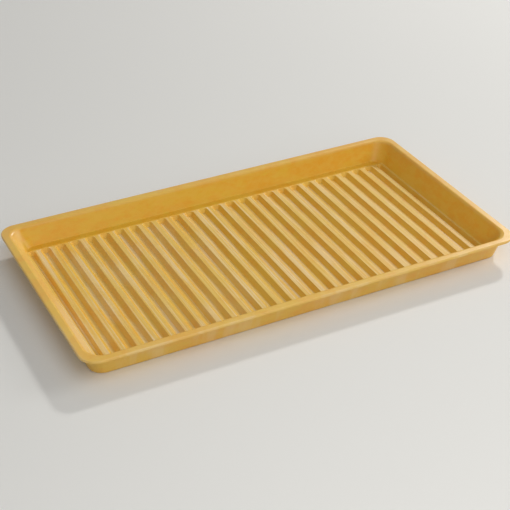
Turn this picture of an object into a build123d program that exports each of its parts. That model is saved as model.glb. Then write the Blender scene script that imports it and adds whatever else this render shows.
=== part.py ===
from build123d import *
import os

# One-piece moulded spill tray: sloping walls, an outward rim with a down-turned lip, and a floor with long
# grooves pressed down into it, which leave flat-topped ribs between them.
# Millimetres. The origin is the centre of the footprint, on the surface that the tray stands on; +X runs
# along the length, +Y along the width and +Z up.

# Overall size, over the rim.
LENGTH = 1050
WIDTH = 563
HEIGHT = 58

# Rim: a flat flange that ends in a short lip turned down over the outside of the wall.
RIM_THICKNESS = 4
RIM_CORNER_RADIUS = 40
RIM_EDGE_ROUNDING = 2.5
LIP_DEPTH = 6

# Inside of the wall. An inset is a distance in from the rim's outer edge; the ends lean out more than
# the long sides do.
WALL_TOP_INSET = 18
WALL_TOP_CORNER = 36
END_FOOT_INSET = 46
SIDE_FOOT_INSET = 38
WALL_FOOT_CORNER = 30

# Outside of the wall, and the flat strip that the tray stands on.
OUTER_TOP_INSET = 14.5
OUTER_END_INSET = 27
OUTER_SIDE_INSET = 30.5
OUTER_FOOT_CORNER = 32
STANDING_END_INSET = 38
STANDING_SIDE_INSET = 36
HOLLOW_SLOPE_RUN = 2.5

# Floor: ribs across the width with grooves between them, and one narrower groove beyond each outer rib.
# The grooves' sides and ends slope.
FLOOR_THICKNESS = 3
RIB_TOP_HEIGHT = 12
RIB_COUNT = 26
RIB_PITCH = 36.2
RIB_TOP_WIDTH = 12.5
GROOVE_END_INSET = 57
END_GROOVE_INSET = 51
GROOVE_SLOPE_RUN = 8
GROOVE_LEAST_FLOOR = 4.4
GROOVE_CORNER = 7
GROOVE_FOOT_CORNER = 1
GROOVE_WALL_SPREAD = 1.4


def outline(height, end_inset, side_inset, corner):
    """A horizontal rounded rectangle, set in from the rim's outer edge."""
    return Pos(0, 0, height) * RectangleRounded(LENGTH - 2 * end_inset, WIDTH - 2 * side_inset, corner)


def between(lower, upper):
    """The solid between two outlines, each given as (height, end inset, side inset, corner radius)."""
    return loft([outline(*lower), outline(*upper)], ruled=True)


def groove(width, bottom, top, spread):
    """A bath with sloping sides, round in plan at its corners; spread widens it on every side."""
    length = WIDTH - 2 * GROOVE_END_INSET + 2 * spread
    top_width = width + 2 * spread
    foot_width = max(width - 2 * GROOVE_SLOPE_RUN, GROOVE_LEAST_FLOOR) + 2 * spread
    foot_length = length - 2 * GROOVE_SLOPE_RUN
    mouth = Pos(0, 0, top) * RectangleRounded(top_width, length, GROOVE_CORNER + spread)
    foot = Pos(0, 0, bottom) * RectangleRounded(foot_width, foot_length, GROOVE_FOOT_CORNER + spread)
    return loft([foot, mouth], ruled=True)


# Each groove's centre line and its width at the top.
groove_width = RIB_PITCH - RIB_TOP_WIDTH
outer_rib_edge = (RIB_COUNT - 1) / 2 * RIB_PITCH + RIB_TOP_WIDTH / 2
end_groove_width = LENGTH / 2 - END_GROOVE_INSET - outer_rib_edge
end_groove_x = outer_rib_edge + end_groove_width / 2
grooves = [((i - RIB_COUNT / 2) * RIB_PITCH, groove_width) for i in range(1, RIB_COUNT)]
grooves += [(-end_groove_x, end_groove_width), (end_groove_x, end_groove_width)]


def all_grooves(bottom, top, spread):
    """Every groove of the floor, as one set of solids."""
    wide = groove(groove_width, bottom, top, spread)
    narrow = groove(end_groove_width, bottom, top, spread)
    return [Pos(x, 0, 0) * (wide if width == groove_width else narrow) for x, width in grooves]


# Outside: the wall, the flange and the lip.
flange_underside = HEIGHT - RIM_THICKNESS
wall = between(
    (0, OUTER_END_INSET, OUTER_SIDE_INSET, OUTER_FOOT_CORNER),
    (flange_underside + 0.01, OUTER_TOP_INSET, OUTER_TOP_INSET, WALL_TOP_CORNER),
)
rim = extrude(outline(HEIGHT - LIP_DEPTH, 0, 0, RIM_CORNER_RADIUS), amount=LIP_DEPTH)
rim = fillet(rim.faces().sort_by(Axis.Z)[-1].edges(), RIM_EDGE_ROUNDING)
lip_corner = RIM_CORNER_RADIUS - RIM_THICKNESS
lip_inside = outline(HEIGHT - LIP_DEPTH, RIM_THICKNESS, RIM_THICKNESS, lip_corner)
rim -= extrude(lip_inside, amount=LIP_DEPTH - RIM_THICKNESS)

# Inside: the well down to the rib tops, and the grooves below them.
well = between(
    (RIB_TOP_HEIGHT, END_FOOT_INSET, SIDE_FOOT_INSET, WALL_FOOT_CORNER),
    (HEIGHT + 0.01, WALL_TOP_INSET, WALL_TOP_INSET, WALL_TOP_CORNER),
)
tray = wall + rim - well
tray -= all_grooves(FLOOR_THICKNESS, RIB_TOP_HEIGHT + 0.01, 0)

# Underside: a hollow within the standing strip, which the grooves' own undersides cross down to the ground.
hollow_top = RIB_TOP_HEIGHT - FLOOR_THICKNESS
hollow_top_end_inset = STANDING_END_INSET + HOLLOW_SLOPE_RUN
hollow_top_side_inset = STANDING_SIDE_INSET + HOLLOW_SLOPE_RUN
hollow = between(
    (0, STANDING_END_INSET, STANDING_SIDE_INSET, WALL_FOOT_CORNER),
    (hollow_top, hollow_top_end_inset, hollow_top_side_inset, WALL_FOOT_CORNER),
)
hollow -= all_grooves(0, hollow_top, GROOVE_WALL_SPREAD)
tray -= hollow

os.makedirs("parts", exist_ok=True)
export_step(tray, "parts/tray_moulding.step")
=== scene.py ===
import math

import bmesh
import bpy
import mathutils.geometry
import numpy as np
from mathutils import Matrix, Vector


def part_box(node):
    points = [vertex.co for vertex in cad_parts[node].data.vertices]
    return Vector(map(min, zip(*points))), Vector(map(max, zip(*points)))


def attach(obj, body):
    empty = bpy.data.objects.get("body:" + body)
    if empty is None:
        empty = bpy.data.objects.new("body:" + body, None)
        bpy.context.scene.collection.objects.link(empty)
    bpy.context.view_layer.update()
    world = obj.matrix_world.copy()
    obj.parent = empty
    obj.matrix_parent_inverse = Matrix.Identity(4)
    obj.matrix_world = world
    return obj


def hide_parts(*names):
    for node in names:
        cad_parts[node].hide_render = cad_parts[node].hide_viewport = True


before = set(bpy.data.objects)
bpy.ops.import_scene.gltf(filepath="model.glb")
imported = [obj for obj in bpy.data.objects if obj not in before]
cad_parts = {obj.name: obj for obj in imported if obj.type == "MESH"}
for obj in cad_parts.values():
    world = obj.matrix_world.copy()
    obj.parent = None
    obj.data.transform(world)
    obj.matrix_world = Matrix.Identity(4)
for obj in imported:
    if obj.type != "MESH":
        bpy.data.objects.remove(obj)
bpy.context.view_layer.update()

# ------------------------------------------------------------------------------------------------------
# The wall and rim of the tray: one shell of yellow plastic, formed in one shot together with the floor.
# Its section runs from the lip over the rim, down the wall and into a small radius at the foot. It is
# carried round the outline as closed loops of points, once for the inside and once for the outside.

MM = 0.001
tray_low, tray_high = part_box("tray_moulding")
length = tray_high[0] - tray_low[0]
width = tray_high[1] - tray_low[1]
height = tray_high[2] - tray_low[2]

rim_thickness = 4 * MM
rim_corner = 40 * MM
lip_depth = 6 * MM
lip_rounding = 0.6 * MM
wall_top_inset = 18 * MM
wall_top_corner = 36 * MM
end_foot_inset = 46 * MM
side_foot_inset = 38 * MM
wall_foot_corner = 30 * MM
outer_top_inset = 14.5 * MM
outer_end_inset = 27 * MM
outer_side_inset = 30.5 * MM
outer_foot_corner = 32 * MM
standing_end_inset = 38 * MM
standing_side_inset = 36 * MM
ledge_corner = 28 * MM
rib_top = 12 * MM
hollow_top = 9 * MM
hollow_slope_run = 2.5 * MM
rounding_steps = 7
corner_steps = 14
end_divisions = 32
side_divisions = 60


def rounded_section(corners, steps):
    """Points along a line through (distance, height, rounding) corners, each turn an arc of that radius."""
    section = [np.array(corners[0][:2])]
    for before, here, after in zip(corners, corners[1:], corners[2:]):
        corner = np.array(here[:2])
        back = np.array(before[:2]) - corner
        onward = np.array(after[:2]) - corner
        back = back / np.linalg.norm(back)
        onward = onward / np.linalg.norm(onward)
        half_angle = math.acos(float(np.clip(back @ onward, -1, 1))) / 2
        bisector = (back + onward) / np.linalg.norm(back + onward)
        centre = corner + bisector * here[2] / math.sin(half_angle)
        first_spoke = corner + back * here[2] / math.tan(half_angle) - centre
        last_spoke = corner + onward * here[2] / math.tan(half_angle) - centre
        turn = math.pi - 2 * half_angle
        for share in np.linspace(0, 1, steps + 1):
            spoke = first_spoke * math.sin((1 - share) * turn) + last_spoke * math.sin(share * turn)
            section.append(centre + spoke / math.sin(turn))
    section.append(np.array(corners[-1][:2]))
    return section


def rounded_rectangle(half_x, half_y, corner, z, divisions_x, divisions_y, turn_steps):
    """A closed loop at one height: straight sides in equal divisions and round corners in equal steps."""
    loop = []
    for quarter, (side_x, side_y) in enumerate(((1, 1), (-1, 1), (-1, -1), (1, -1))):
        centre = np.array((side_x * (half_x - corner), side_y * (half_y - corner)))
        for share in np.linspace(0, 1, turn_steps + 1):
            angle = math.radians(90) * (quarter + share)
            loop.append(centre + corner * np.array((math.cos(angle), math.sin(angle))))
        if quarter % 2 == 0:
            end_of_side = np.array((-side_x * (half_x - corner), side_y * half_y))
            divisions = divisions_x
        else:
            end_of_side = np.array((side_x * half_x, -side_y * (half_y - corner)))
            divisions = divisions_y
        start_of_side = loop[-1]
        for share in np.linspace(0, 1, divisions + 1)[1:-1]:
            loop.append(start_of_side + (end_of_side - start_of_side) * share)
    return [(float(x), float(y), float(z)) for x, y in loop]


points = []
faces = []


def sweep(loops):
    """Adds loops of equal length, joins each to the next with quads and returns the last one's indices."""
    previous = None
    for loop in loops:
        current = list(range(len(points), len(points) + len(loop)))
        points.extend(loop)
        if previous:
            for i in range(len(loop)):
                j = (i + 1) % len(loop)
                faces.append((previous[i], previous[j], current[j], current[i]))
        previous = current
    return previous


def wall_loops(corners):
    """The outline's loops, from corners of (inset at the ends, at the sides, height, rounding, turn)."""
    end_corners = [(end, z, rounding) for end, side, z, rounding, turn in corners]
    side_corners = [(side, z, rounding) for end, side, z, rounding, turn in corners]
    end_section = rounded_section(end_corners, rounding_steps)
    side_section = rounded_section(side_corners, rounding_steps)
    by_height = sorted((z, turn) for end, side, z, rounding, turn in corners)
    heights = [z for z, turn in by_height]
    turns = [turn for z, turn in by_height]
    loops = []
    for (end, end_z), (side, side_z) in zip(end_section, side_section):
        z = (end_z + side_z) / 2
        half_x = length / 2 - end
        half_y = width / 2 - side
        turn = np.interp(z, heights, turns)
        loops.append(rounded_rectangle(half_x, half_y, turn, z, side_divisions, end_divisions, corner_steps))
    return loops


rim_underside = height - rim_thickness
lip_end = height - lip_depth
lip_corner = rim_corner - rim_thickness / 2
hollow_end_inset = standing_end_inset + hollow_slope_run
hollow_side_inset = standing_side_inset + hollow_slope_run
inside = [
    (lip_rounding, lip_rounding, lip_end, 0, rim_corner),
    (0, 0, lip_end, 0.5 * MM, rim_corner),
    (0, 0, height, 2.6 * MM, rim_corner),
    (wall_top_inset, wall_top_inset, height, 8 * MM, wall_top_corner),
    (end_foot_inset, side_foot_inset, rib_top, 3 * MM, wall_foot_corner),
    (end_foot_inset + 2.2 * MM, side_foot_inset + 2.4 * MM, rib_top, 0, ledge_corner),
]
outside = [
    (lip_rounding, lip_rounding, lip_end, 0, rim_corner),
    (rim_thickness, rim_thickness, lip_end, 0.9 * MM, lip_corner),
    (rim_thickness, rim_thickness, rim_underside, 0.9 * MM, lip_corner),
    (outer_top_inset, outer_top_inset, rim_underside, 2 * MM, wall_top_corner),
    (outer_end_inset, outer_side_inset, 0, 4 * MM, outer_foot_corner),
    (standing_end_inset, standing_side_inset, 0, 1.5 * MM, wall_foot_corner),
    (hollow_end_inset, hollow_side_inset, hollow_top, 1 * MM, wall_foot_corner - 1 * MM),
    (hollow_end_inset + 3.5 * MM, hollow_side_inset + 1.9 * MM, hollow_top, 0, ledge_corner),
]
rib_top_edge = sweep(wall_loops(inside))
hollow_edge = sweep(wall_loops(outside))

# ------------------------------------------------------------------------------------------------------
# The floor: long grooves across the tray, pressed down into it, that leave flat-topped ribs between them
# and a narrow ledge all round. Each groove is closed at both ends, with sloping sides and soft edges; the
# same grooves, a wall's thickness wider, stand down below the floor as far as the ground.

rib_count = 26
rib_pitch = 36.2 * MM
rib_top_width = 12.5 * MM
floor_thickness = 3 * MM
groove_slope_run = 8 * MM
groove_least_floor = 4.4 * MM
groove_corner = 7 * MM
groove_mouth_rounding = 1.8 * MM
groove_foot_rounding = 1.6 * MM
groove_wall_spread = 1.4 * MM
groove_half_length = width / 2 - 57 * MM
end_groove_edge = length / 2 - 51 * MM
mouth_margin = 1 * MM
foot_margin = 1.2 * MM
groove_rounding_steps = 5
groove_corner_steps = 6
groove_divisions = 20


def groove_loops(low_x, high_x, top, bottom, spread):
    """One groove's loops from the flat round its mouth down to its floor, widened by spread."""
    mouth_x = (high_x - low_x) / 2 + spread
    mouth_y = groove_half_length + spread
    floor_x = max(mouth_x - groove_slope_run, groove_least_floor / 2 + spread)
    floor_y = mouth_y - groove_slope_run
    across = [
        (mouth_x + mouth_margin, top, 0),
        (mouth_x, top, groove_mouth_rounding),
        (floor_x, bottom, groove_foot_rounding),
        (floor_x - foot_margin, bottom, 0),
    ]
    along = [
        (mouth_y + mouth_margin, top, 0),
        (mouth_y, top, groove_mouth_rounding),
        (floor_y, bottom, groove_foot_rounding),
        (floor_y - foot_margin, bottom, 0),
    ]
    across_section = rounded_section(across, groove_rounding_steps)
    along_section = rounded_section(along, groove_rounding_steps)
    centre_x = (low_x + high_x) / 2
    loops = []
    for (half_x, across_z), (half_y, along_z) in zip(across_section, along_section):
        turn = groove_corner + spread + half_x - mouth_x
        turn = max(0.8 * MM, min(turn, half_x - 0.2 * MM))
        z = (across_z + along_z) / 2
        loop = rounded_rectangle(half_x, half_y, turn, z, 1, groove_divisions, groove_corner_steps)
        loops.append([(x + centre_x, y, z) for x, y, z in loop])
    return loops


def flat_with_holes(rim, holes):
    """Fills the flat between an outer loop of points and the loops inside it with triangles."""
    used = []
    loops = []
    for loop in [rim] + holes:
        loops.append(list(range(len(used), len(used) + len(loop))))
        used.extend(loop)
    in_plan = [Vector(points[i][:2]) for i in used]
    only_inside = 1
    tolerance = 1e-6 * MM
    filled = mathutils.geometry.delaunay_2d_cdt(in_plan, [], loops, only_inside, tolerance)
    triangles, point_sources, face_sources = filled[2], filled[3], filled[5]
    for triangle, sources in zip(triangles, face_sources):
        if list(sources) == [0]:
            faces.append(tuple(used[point_sources[corner][0]] for corner in triangle))


groove_sides = []
for i in range(rib_count + 1):
    low_x = (i - rib_count / 2 - 0.5) * rib_pitch + rib_top_width / 2
    high_x = low_x + rib_pitch - rib_top_width
    groove_sides.append((max(low_x, -end_groove_edge), min(high_x, end_groove_edge)))

for rim, top, bottom, spread in (
    (rib_top_edge, rib_top, floor_thickness, 0),
    (hollow_edge, hollow_top, 0, groove_wall_spread),
):
    mouths = []
    for low_x, high_x in groove_sides:
        loops = groove_loops(low_x, high_x, top, bottom, spread)
        mouths.append(list(range(len(points), len(points) + len(loops[0]))))
        faces.append(tuple(sweep(loops)))
    flat_with_holes(rim, mouths)

mesh = bpy.data.meshes.new("tray")
mesh.from_pydata(points, [], faces)
surface = bmesh.new()
surface.from_mesh(mesh)
bmesh.ops.remove_doubles(surface, verts=surface.verts, dist=0.001 * MM)
bmesh.ops.recalc_face_normals(surface, faces=surface.faces)
for face in surface.faces:
    face.smooth = True
surface.to_mesh(mesh)
surface.free()
tray = bpy.data.objects.new("tray", mesh)
bpy.context.scene.collection.objects.link(tray)
shading = tray.modifiers.new("even shading", "WEIGHTED_NORMAL")
shading.mode = "FACE_AREA_WITH_ANGLE"
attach(tray, "root")
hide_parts("tray_moulding")

# ------------------------------------------------------------------------------------------------------
# The plastic: a warm yellow, semi-gloss and slightly uneven, as moulded. Fine drawn streaks run along the
# ribs and the walls are faintly clouded. Painted sheen lightens the floor's upward flats in pale patches and
# lines, and also the rim, the outside and the left end's inner wall. Painted shade turns the right end a
# deeper amber.


class Shade:
    """An output socket in a node tree. Numbers combine with + - *, colours with mix."""

    def __init__(self, tree, socket=None):
        self.tree = tree
        self.socket = socket

    def node(self, kind, settings, inputs, output=0):
        """Adds a node, sets its settings and then its inputs, and returns one of its outputs."""
        added = self.tree.nodes.new(kind)
        for name, value in settings.items():
            setattr(added, name, value)
        for key, value in inputs.items():
            if isinstance(value, Shade):
                self.tree.links.new(value.socket, added.inputs[key])
            else:
                added.inputs[key].default_value = value
        return Shade(self.tree, added.outputs[output])

    def maths(self, operation, first, second):
        return self.node("ShaderNodeMath", {"operation": operation}, {0: first, 1: second})

    def __add__(self, other):
        return self.maths("ADD", self, other)

    def __radd__(self, other):
        return self.maths("ADD", other, self)

    def __sub__(self, other):
        return self.maths("SUBTRACT", self, other)

    def __rsub__(self, other):
        return self.maths("SUBTRACT", other, self)

    def __mul__(self, other):
        return self.maths("MULTIPLY", self, other)

    def __rmul__(self, other):
        return self.maths("MULTIPLY", other, self)

    def step(self, low, high):
        """0 below low, 1 above high and a smooth rise between."""
        settings = {"interpolation_type": "SMOOTHSTEP"}
        return self.node("ShaderNodeMapRange", settings, {0: self, 1: low, 2: high})

    def mix(self, low, high):
        """The colour low where this is 0 and high where it is 1."""
        return self.node("ShaderNodeMix", {"data_type": "RGBA"}, {0: self, 6: low, 7: high}, 2)

    def axis(self, name):
        return self.node("ShaderNodeSeparateXYZ", {}, {0: self}, name)

    def stretched(self, x, y, z):
        return self.node("ShaderNodeVectorMath", {"operation": "MULTIPLY"}, {0: self, 1: (x, y, z)})

    def noise(self, scale, detail, roughness=0.5):
        """Soft noise from about 0.3 to 0.7, at these coordinates."""
        inputs = {"Vector": self, "Scale": scale, "Detail": detail, "Roughness": roughness}
        return self.node("ShaderNodeTexNoise", {}, inputs)


plastic = bpy.data.materials.new("yellow moulding")
plastic.use_nodes = True
tree = plastic.node_tree
mesh.materials.append(plastic)
bsdf = tree.nodes["Principled BSDF"]
place = Shade(tree).node("ShaderNodeTexCoord", {}, {}, "Object")
facing = Shade(tree).node("ShaderNodeNewGeometry", {}, {}, "Normal")
x = place.axis("X")
y = place.axis("Y")
z = place.axis("Z")

# Where the patches lie: the floor, its flats, the ribs' length, the rim, the outside and the left end.
on_floor = 1 - z.step(rib_top + 0.5 * MM, rib_top + 4 * MM)
flat = facing.axis("Z").step(0.8, 0.98)
streaks_fade = groove_half_length - 3 * MM
streaks_end = groove_half_length + 3 * MM
along_ribs = 1 - (y * y).step(streaks_fade ** 2, streaks_end ** 2)
on_rim = z.step(height - 8 * MM, height - 1 * MM)
outward = place.node("ShaderNodeVectorMath", {"operation": "DOT_PRODUCT"}, {0: place, 1: facing}, "Value")
outward = outward.step(0.03, 0.12)
left_end = (0 - x).step(length / 2 - 50 * MM, length / 2 - 40 * MM) * (1 - on_rim) * (1 - outward)

# Marks of different grain: x, y and z are stretched so that those on the ribs are long and thin.
clouds = place.stretched(1, 1.3, 2.5).noise(10, 6, 0.7).step(0.42, 0.58)
mottle = place.stretched(1, 1, 2).noise(40, 6, 0.7).step(0.36, 0.64)
streaks = place.stretched(190, 3.5, 60).noise(1, 4, 0.7).step(0.38, 0.62)
hairlines = place.stretched(360, 2.5, 90).noise(1, 2, 0.5).step(0.52, 0.66)
# Patches where painted sheen is laid on the floor's flats.
sheen_patches = place.stretched(24, 4.5, 5).noise(1, 3, 0.55).step(0.46, 0.64)

golden = (0.78, 0.475, 0.038, 1)
amber = (0.80, 0.395, 0.024, 1)
honey = (0.80, 0.49, 0.060, 1)
straw = (0.78, 0.54, 0.125, 1)
sheen_white = (0.84, 0.64, 0.34, 1)
# Painted shade: towards the right end the colour turns a deeper amber and the painted sheen fades, standing
# in for the shade and warm bounce light on the right wall.
painted_shade_to_right = x.step(0.1, length / 2)
colour = (0.85 * clouds + 0.5 * painted_shade_to_right).mix(golden, amber)
colour = (0.55 * mottle).mix(colour, honey)
# Drawn streaks along the ribs in straw, over painted sheen that makes the floor's upward flats paler
# overall.
streaks_and_floor_sheen = on_floor * along_ribs * (0.3 + 0.7 * flat) * (0.25 + 0.6 * streaks)
colour = streaks_and_floor_sheen.mix(colour, straw)
# Painted sheen: a pale whitish colour in patches and hairlines on the floor's upward flats.
painted_sheen = on_floor * flat * along_ribs * (1 - 0.5 * painted_shade_to_right)
painted_sheen = painted_sheen * (0.08 + 0.50 * sheen_patches + 0.60 * hairlines)
# Painted sheen on the rim's top, standing in for its reflection of the sky.
painted_sheen = painted_sheen + 0.16 * on_rim
# Painted sheen on the outside faces.
painted_sheen = painted_sheen + (0.14 + 0.30 * sheen_patches) * outward
# Painted sheen on the left end's inner wall, standing in for its grazing reflection.
painted_sheen = painted_sheen + (0.3 + 0.4 * sheen_patches) * left_end
colour = painted_sheen.mix(colour, sheen_white)
tree.links.new(colour.socket, bsdf.inputs["Base Color"])

roughness = 0.34 + 0.10 * mottle + 0.08 * on_floor * streaks
tree.links.new(roughness.socket, bsdf.inputs["Roughness"])
bsdf.inputs["Specular IOR Level"].default_value = 0.4

grain = place.noise(620, 3, 0.55)
waves = place.stretched(1, 0.7, 1).noise(22, 2)
relief = 0.12 * grain + 0.9 * waves + 0.35 * on_floor * streaks
bump = place.node("ShaderNodeBump", {}, {"Strength": 0.35, "Distance": 0.6 * MM, "Height": relief})
tree.links.new(bump.socket, bsdf.inputs["Normal"])

# ------------------------------------------------------------------------------------------------------
# The studio: pale paper underfoot, a small soft box high behind the right end that leaves the left side of
# every rib in shade, large soft boxes to the right, in front and overhead, and a camera with a long lens.

floor_mesh = bpy.data.meshes.new("studio_floor")
reach = 6.0
under = -0.2 * MM
corners = [(-reach, -reach, under), (reach, -reach, under), (reach, reach, under), (-reach, reach, under)]
floor_mesh.from_pydata(corners, [], [(0, 1, 2, 3)])
floor = bpy.data.objects.new("studio_floor", floor_mesh)
bpy.context.scene.collection.objects.link(floor)
paper = bpy.data.materials.new("pale paper")
paper.use_nodes = True
paper_shader = paper.node_tree.nodes["Principled BSDF"]
paper_shader.inputs["Base Color"].default_value = (0.8, 0.8, 0.78, 1)
paper_shader.inputs["Roughness"].default_value = 0.9
floor_mesh.materials.append(paper)

bpy.context.scene.view_settings.view_transform = "Standard"
world = bpy.data.worlds.new("studio")
bpy.context.scene.world = world
world.use_nodes = True
world.node_tree.nodes["Background"].inputs["Color"].default_value = (1, 0.99, 0.97, 1)
world.node_tree.nodes["Background"].inputs["Strength"].default_value = 0.31

for name, location, size, power in (
    ("soft_box_rear_right", (4.4, 3.2, 3.6), 0.5, 150),
    ("soft_box_right", (4.0, -1.0, 2.2), 2.0, 60),
    ("soft_box_front", (-0.3, -2.2, 1.3), 1.8, 14),
    ("soft_box_overhead", (0, -1.6, 2.4), 1.8, 12),
):
    light = bpy.data.lights.new(name, "AREA")
    light.size = size
    light.energy = power
    light.color = (1, 0.985, 0.96)
    lamp = bpy.data.objects.new(name, light)
    bpy.context.scene.collection.objects.link(lamp)
    lamp.location = location
    lamp.rotation_euler = Vector(location).to_track_quat("Z", "Y").to_euler()

camera_data = bpy.data.cameras.new("camera")
camera_data.sensor_width = 36
camera_data.lens = 86.54
camera = bpy.data.objects.new("camera", camera_data)
bpy.context.scene.collection.objects.link(camera)
azimuth = math.radians(-27.75)
elevation = math.radians(33.19)
roll = math.radians(0.75)
level = math.cos(elevation)
towards_camera = Vector((math.sin(azimuth) * level, -math.cos(azimuth) * level, math.sin(elevation)))
aim = Vector((-0.0450 * length, -0.0742 * length, height))
distance = 2.587 * length
camera.location = aim + towards_camera * distance
camera.rotation_mode = "QUATERNION"
tilt = Matrix.Rotation(roll, 4, "Z").to_quaternion()
camera.rotation_quaternion = towards_camera.to_track_quat("Z", "Y") @ tilt
bpy.context.scene.camera = camera
